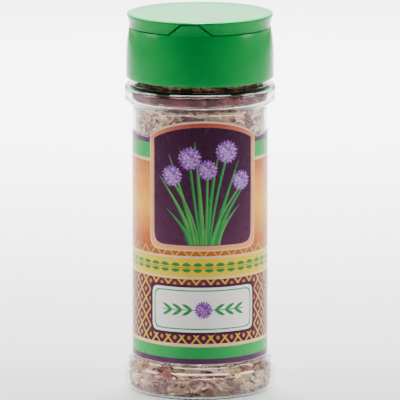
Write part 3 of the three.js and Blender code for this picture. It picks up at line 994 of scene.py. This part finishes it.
def hole_rods(radius, bottom, top, finish):
    """A round bar at each sifter hole: one in the middle and a ring of others."""
    places = [(0, 0)]
    for index in range(HOLES_IN_RING):
        angle = math.tau * index / HOLES_IN_RING + math.pi / 2
        places.append((HOLE_RING_RADIUS * math.cos(angle), HOLE_RING_RADIUS * math.sin(angle)))
    return [rod(radius, bottom, top, finish, x, y) for x, y in places]


def curved_wall(foot, head, power, steps):
    """Corners up a wall from foot to head, both (radius, height), that leans more and more."""
    corners = []
    for step in range(steps + 1):
        share = step / steps
        radius = foot[0] + (head[0] - foot[0]) * share**power
        corners.append((radius, foot[1] + (head[1] - foot[1]) * share, 0))
    return corners


def flare(bottom):
    """The lid's outer outline up to its rim."""
    rim = (LID_RIM_RADIUS, LID_TOP - LID_RIM_HEIGHT)
    return curved_wall((PARTING_RADIUS, bottom), rim, power=2, steps=8)


def tab_half_width(height):
    """The thumb tab narrows towards its top."""
    slope = (TAB_TOP_WIDTH - TAB_BOTTOM_WIDTH) / (TAB_TOP - PARTING)
    return (TAB_BOTTOM_WIDTH + slope * (height - PARTING)) / 2


def tab_prism(bottom, top, margin, finish):
    """Wedge with the thumb tab's face, from inside the skirt to past the rim."""
    bm = bmesh.new()
    verts = []
    for side, height in ((-1, bottom), (1, bottom), (1, top), (-1, top)):
        across = side * (tab_half_width(height) + margin)
        verts.append(bm.verts.new(Vector((across, TAB_INNER_Y, height)) * MM))
    grown = bmesh.ops.extrude_face_region(bm, geom=[bm.faces.new(verts)])["geom"]
    moved = of_kind(grown, bmesh.types.BMVert)
    bmesh.ops.translate(bm, vec=(0, -TAB_DEPTH * MM, 0), verts=moved)
    bmesh.ops.recalc_face_normals(bm, faces=bm.faces)
    return finished("tab_prism", bm, finish)


def hinge_land(wall_radius, bottom, top, finish):
    """Flat-faced block behind the cap, outside a wall's inner face."""
    bm = bmesh.new()
    depth = HINGE_FACE_Y - (wall_radius - HINGE_LAND_SUNK)
    bmesh.ops.create_cube(
        bm,
        size=1,
        matrix=Matrix.Translation(Vector((0, HINGE_FACE_Y - depth / 2, (bottom + top) / 2)) * MM)
        @ Matrix.Diagonal((HINGE_WIDTH * MM, depth * MM, (top - bottom) * MM, 1)),
    )
    land = finished("land", bm, finish)
    hollow = rod(wall_radius, bottom - 1, top + 1, finish, sides=192)
    combine(land, hollow, "DIFFERENCE")
    return land


def make_cap_body(finish):
    """Skirt with its inside thread, sifter deck, collar, thumb tab and lower hinge land."""
    top = PARTING - PARTING_GAP / 2
    foot = (CAP_BOTTOM_RADIUS, CAP_BOTTOM + CAP_EDGE)
    wall = curved_wall(foot, (PARTING_RADIUS, top), power=3, steps=12)
    corners = [
        (CAP_INNER_RADIUS, CAP_BOTTOM, 0.25),
        (CAP_BOTTOM_RADIUS - 0.12, CAP_BOTTOM, 0.25),
        *wall[:-1],
        (PARTING_RADIUS, top, 0.12),
        (COLLAR_OUTER_RADIUS, top, 0.15),
        (COLLAR_OUTER_RADIUS, COLLAR_TOP, 0.35),
        (COLLAR_INNER_RADIUS, COLLAR_TOP, 0.25),
        (COLLAR_INNER_RADIUS, DECK_TOP, 0.4),
        (0, DECK_TOP, 0),
        (0, DECK_UNDERSIDE, 0),
        (CAP_INNER_RADIUS, DECK_UNDERSIDE, 0.4),
    ]
    cap = finished("cap_shell", spun(corners, sides=224, steps=3, closed=True), finish)
    thread = thread_ridge(CAP_INNER_RADIUS, -THREAD_DEPTH, CAP_THREAD_START, finish)
    combine(cap, thread, "UNION")
    skirt_corners = [
        (LID_INNER_RADIUS, TAB_ROOT, 0),
        (PARTING_RADIUS, TAB_ROOT, 0),
        *flare(PARTING),
        (LID_INNER_RADIUS, LID_TOP - LID_RIM_HEIGHT, 0),
    ]
    tab = finished("tab", spun(skirt_corners, sides=224, closed=True), finish)
    combine(tab, tab_prism(TAB_ROOT, TAB_TOP, 0, finish), "INTERSECT")
    combine(cap, tab, "UNION")
    combine(cap, hinge_land(CAP_INNER_RADIUS, top - HINGE_LAND_HEIGHT, top, finish), "UNION")
    for cutter in hole_rods(HOLE_RADIUS, DECK_UNDERSIDE - 1, DECK_TOP + 1, finish):
        combine(cap, cutter, "DIFFERENCE")
    soften(cap)
    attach(cap_turned(cap), "cap")
    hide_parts("cap_body")
    return cap


# ---- lid, hinge web and sealing ring


def make_lid(finish):
    """Full-width lid with a flared skirt, a plug for each hole and a cut for the thumb tab."""
    bottom = PARTING + PARTING_GAP / 2
    corners = [
        (0, LID_UNDERSIDE, 0),
        (LID_INNER_RADIUS, LID_UNDERSIDE, 0.5),
        (LID_INNER_RADIUS, bottom, 0.12),
        *flare(bottom),
        (LID_RIM_RADIUS, LID_TOP, 0.75),
        (LID_RIM_RADIUS - 2.4, LID_TOP, 0.6),
        (LID_RIM_RADIUS - 3.2, LID_TOP - LID_DISH, 0.4),
        (0, LID_TOP - LID_DISH, 0),
    ]
    lid = finished("flip_top", spun(corners, sides=224, steps=4), finish)
    combine(lid, hinge_land(LID_INNER_RADIUS, bottom, bottom + HINGE_LAND_HEIGHT, finish), "UNION")
    for plug in hole_rods(PLUG_RADIUS, PLUG_BOTTOM, LID_UNDERSIDE + 0.5, finish):
        combine(lid, plug, "UNION")
    cut = tab_prism(bottom - 1, TAB_TOP + PARTING_GAP, TAB_SIDE_GAP, finish)
    combine(lid, cut, "DIFFERENCE")
    soften(lid)
    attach(cap_turned(lid), "lid")
    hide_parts("flip_lid")
    return lid


def make_hinge_web(finish):
    """The thin fold that joins cap and lid."""
    reach = 1.5
    thickness = 0.3
    bm = bmesh.new()
    bmesh.ops.create_grid(
        bm,
        x_segments=12,
        y_segments=24,
        size=1,
        matrix=Matrix.Translation(Vector((0, HINGE_FACE_Y + 0.05, PARTING)) * MM)
        @ Matrix.Rotation(math.pi / 2, 4, "X")
        @ Matrix.Diagonal(((HINGE_WIDTH / 2 - 1) * MM, reach * MM, 1, 1)),
    )
    web = finished("hinge_web", bm, finish)
    wall = web.modifiers.new("wall", "SOLIDIFY")
    wall.thickness = thickness * MM
    wall.offset = 0
    settle(web)
    cap_turned(web)
    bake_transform(web)


def make_seal(finish):
    """Foam washer between the jar's lip and the deck."""
    bottom = LIP_HEIGHT + SEAL_GAP
    top = DECK_UNDERSIDE - SEAL_GAP
    corners = [
        (SEAL_INNER_RADIUS, bottom, 0.2),
        (SEAL_OUTER_RADIUS, bottom, 0.2),
        (SEAL_OUTER_RADIUS, top, 0.2),
        (SEAL_INNER_RADIUS, top, 0.2),
    ]
    seal = finished("foam_ring", spun(corners, sides=128, steps=4, closed=True), finish)
    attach(seal, "ring")
    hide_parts("seal_ring")


# ---- dried chives


def as_mesh(bm, thickness):
    """The bmesh as a bare mesh with walls of a thickness."""
    bmesh.ops.recalc_face_normals(bm, faces=bm.faces)
    bmesh.ops.solidify(bm, geom=bm.faces, thickness=thickness)
    mesh = bpy.data.meshes.new("bit")
    bm.to_mesh(mesh)
    bm.free()
    return mesh


def hollow_stalk(stream):
    """A chopped hollow stalk, one unit long along X and one unit across, flattened and bent."""
    bm = bmesh.new()
    end = Matrix.Translation((-0.5, 0, 0)) @ Matrix.Rotation(math.pi / 2, 4, "Y")
    ring = bmesh.ops.create_circle(bm, segments=6, radius=0.5, matrix=end)["verts"]
    bmesh.ops.scale(bm, vec=(1, 1, stream.uniform(0.45, 0.9)), verts=ring)
    edges = list(bm.edges)
    for _ in range(2):
        grown = bmesh.ops.extrude_edge_only(bm, edges=edges)["geom"]
        verts = of_kind(grown, bmesh.types.BMVert)
        edges = of_kind(grown, bmesh.types.BMEdge)
        bmesh.ops.translate(bm, vec=(0.5, stream.uniform(-0.1, 0.1), 0), verts=verts)
        middle = sum((vert.co for vert in verts), Vector()) / len(verts)
        size = (1, stream.uniform(0.8, 1.1), stream.uniform(0.6, 1.1))
        bmesh.ops.scale(bm, vec=size, space=Matrix.Translation(-middle), verts=verts)
    return as_mesh(bm, thickness=0.14)


def split_flake(stream):
    """A split stalk: a short curled strip, one unit long along X."""
    bm = bmesh.new()
    bmesh.ops.create_grid(bm, x_segments=3, y_segments=2, size=0.5)
    curl = stream.uniform(0.3, 1.1)
    lift = stream.uniform(-0.12, 0.12)
    for vert in bm.verts:
        vert.co.z = curl * (0.25 - vert.co.y**2) + lift * math.cos(vert.co.x * 4)
        vert.co.y *= stream.uniform(0.75, 1.05)
    return as_mesh(bm, thickness=0.1)


def reach_at(height):
    """How far out the chives lie at a height."""
    height = min(max(height, FILL_OUTLINE[0][0]), FILL_OUTLINE[-1][0])
    for (low, first), (high, second) in zip(FILL_OUTLINE, FILL_OUTLINE[1:]):
        if height <= high:
            return first + (second - first) * (height - low) / (high - low)


def floor_at(radius):
    """Height of the jar's inside floor, which the push-up raises in the middle."""
    crown = min(radius / PUSH_UP_RADIUS, 1) ** 2
    skirt = min(max((radius - PUSH_UP_RADIUS) / (STAND_INNER_RADIUS - PUSH_UP_RADIUS), 0), 1)
    fall = (FLOOR_MIDDLE - FLOOR_EDGE) * crown
    return FLOOR_MIDDLE - fall - (FLOOR_EDGE - FILL_FLOOR) * skirt


def wall_place(stream, length, width, low, high, around):
    """Where a bit lies flat against the jar's wall, at a slant and depth of its own."""
    slant = stream.gauss(0, 0.6)
    across = length / 2 * math.cos(slant)
    rise = length / 2 * abs(math.sin(slant))
    depth = stream.random() ** 2 * CORE_DEPTH
    margin = min(rise + width * BIT_REST, (high - low) / 2)
    height = stream.uniform(low + margin, high - margin)
    reach = min(reach_at(height - rise), reach_at(height + rise))
    radius = math.sqrt(reach**2 - across**2) - width * BIT_REST - depth
    return (
        Matrix.Rotation(stream.uniform(*around), 4, "Z")
        @ Matrix.Translation(Vector((0, -radius, height)) * MM)
        @ Matrix.Rotation(slant, 4, "Y")
        @ Matrix.Rotation(stream.uniform(-0.15, 0.15), 4, "Z")
        @ Matrix.Rotation(math.pi / 2 + stream.uniform(-0.7, 0.7), 4, "X")
    )


def level_place(stream, reach, height_at, tilt):
    """Where a bit lies on a level patch."""
    out = reach * math.sqrt(stream.random())
    return (
        Matrix.Rotation(stream.uniform(0, math.tau), 4, "Z")
        @ Matrix.Translation(Vector((out, 0, height_at(out))) * MM)
        @ Matrix.Rotation(stream.uniform(0, math.tau), 4, "Z")
        @ Matrix.Rotation(stream.uniform(-tilt, tilt), 4, "Y")
        @ Matrix.Rotation(stream.uniform(0, math.tau), 4, "X")
    )


def chive_shade_core(stream, finish):
    """Packed crumbs that show between the larger bits, dark as painted shade for the gaps between
    them.
    """
    outline = [(0, FLOOR_MIDDLE + 1.6, 0), (PUSH_UP_RADIUS, FLOOR_MIDDLE + 0.6, 3)]
    outline += [(reach - CORE_DEPTH, height, 0.6) for height, reach in FILL_OUTLINE[1:-1]]
    outline += [(FILL_OUTLINE[-1][1] - CORE_DEPTH, FILL_TOP - 2.0, 1.0), (0, FILL_TOP - 0.6, 0)]
    bm = spun(outline, sides=120, steps=3)
    tall = [edge for edge in bm.edges if edge.calc_length() > 10 * MM]
    bmesh.ops.subdivide_edges(bm, edges=tall, cuts=60, use_grid_fill=True)
    for vert in bm.verts:
        vert.co += Vector([stream.uniform(-1, 1) for _ in range(3)]) * CRUMB_SIZE * MM
    core = finished("chive_shade_core", bm, finish, sharp=180)
    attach(core, "jar")
    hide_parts("chive_fill")


def scatter(name, shapes, count, zone, stream, finish):
    """One mesh of many bits, each a chosen shape at a place and in a tone of its own, about its zone's
    tone, which for the ring zone is painted shade.
    """
    bm = bmesh.new()
    tones = []
    for _ in range(count):
        length = stream.uniform(SHORTEST_BIT, zone.longest)
        width = stream.uniform(*BIT_WIDTHS)
        bit = stream.choice(shapes).copy()
        place = zone.place(length, width)
        bit.transform(place @ Matrix.Diagonal((length * MM, width * MM, width * MM, 1)))
        bm.from_mesh(bit)
        x, y, z = place.translation / MM
        patch = noise.noise(Vector((x / PATCH_WIDTH, y / PATCH_WIDTH, z / PATCH_HEIGHT)))
        tone = stream.gauss(zone.tone + PATCHINESS * patch, zone.spread)
        tones += [min(1, max(0, tone))] * len(bit.vertices)
        bpy.data.meshes.remove(bit)
    piece = finished(name, bm, finish, sharp=60)
    piece.data.attributes.new("tone", "FLOAT", "POINT").data.foreach_set("value", tones)
    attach(piece, "jar")


Zone = namedtuple("Zone", "name place longest tone spread stalks flakes")


def make_chives(finish, crumbs_and_shade):
    """A dark core, painted shade between the bits, with layers of chopped stalks and flakes over its
    wall, top and underside.
    """
    stream = random.Random(4127)
    chive_shade_core(stream, crumbs_and_shade)
    stalks = [hollow_stalk(stream) for _ in range(10)]
    flakes = [split_flake(stream) for _ in range(8)]

    def on_wall(low, high, around=(0, math.tau)):
        return lambda length, width: wall_place(stream, length, width, low, high, around)

    def on_top(length, width):
        return level_place(stream, 15.5, lambda out: FILL_TOP - 0.3 - out / 14, tilt=0.4)

    def underneath(length, width):
        return level_place(stream, 18.5, lambda out: floor_at(out) + 0.3 + width / 2, tilt=0.05)

    seam = math.pi + math.radians(LABEL_TURN)
    bare_strip = (seam - 0.16, seam + 0.16)
    zones = [
        Zone("foot", on_wall(0.95, 12.5), 4.0, 0.65, 0.24, 1250, 700),
        Zone("behind_label", on_wall(12, 82), 5.0, 0.55, 0.27, 500, 250),
        Zone("seam", on_wall(11, 84, bare_strip), 4.0, 0.55, 0.27, 380, 220),
        Zone("shoulder", on_wall(81, 93), 4.0, 0.6, 0.27, 1200, 650),
        # The ring zone's bits are made far darker than the rest: painted shade under the cap's
        # overhang.
        Zone("ring", on_wall(92.5, 97.5), 3.0, -0.12, 0.20, 850, 480),
        Zone("neck", on_wall(97.5, 101), 3.0, 0.60, 0.25, 420, 220),
        Zone("top", on_top, 4.5, 0.5, 0.27, 300, 180),
        Zone("underneath", underneath, 4.0, 0.55, 0.27, 420, 260),
    ]
    for zone in zones:
        scatter(f"chive_stalks_{zone.name}", stalks, zone.stalks, zone, stream, finish)
        scatter(f"chive_flakes_{zone.name}", flakes, zone.flakes, zone, stream, finish)
    for mesh in stalks + flakes:
        bpy.data.meshes.remove(mesh)


# ---- the whole scene

add_camera()
add_surroundings()
add_softbox("left_side", (-0.90, -0.05, 0.45), (0, 0, 0.06), size=(0.4, 0.4), power=8)
add_softbox("right_side", (0.90, -0.09, 0.45), (0, 0, 0.06), size=(0.4, 0.4), power=8)
add_softbox("back_top", (0, 0.75, 1.00), (0, 0.55, 0), size=(0.7, 0.6), power=18, spread=70)
add_floor()

green = green_plastic()
jar = make_jar(clear_plastic())
make_label(label_finish())
cap = make_cap_body(green)
lid = make_lid(green)
make_hinge_web(green)
make_seal(foam_finish())
make_chives(chive_finish(), dust_and_gap_shade_finish())
add_softbox("rim_glint", (0, -0.65, 1.10), (0, 0, 0.09), size=(1.8, 0.6), power=90, pieces=[jar])
add_softbox("ring_glint", (0, -0.10, 0.002), (0, -0.10, 1), size=(0.5, 0.03), power=1.8, pieces=[jar])
add_softbox("lid_top", (0, 0.10, 1.10), (0, 0, 0.12), size=(0.12, 0.12), power=55, pieces=[cap, lid])
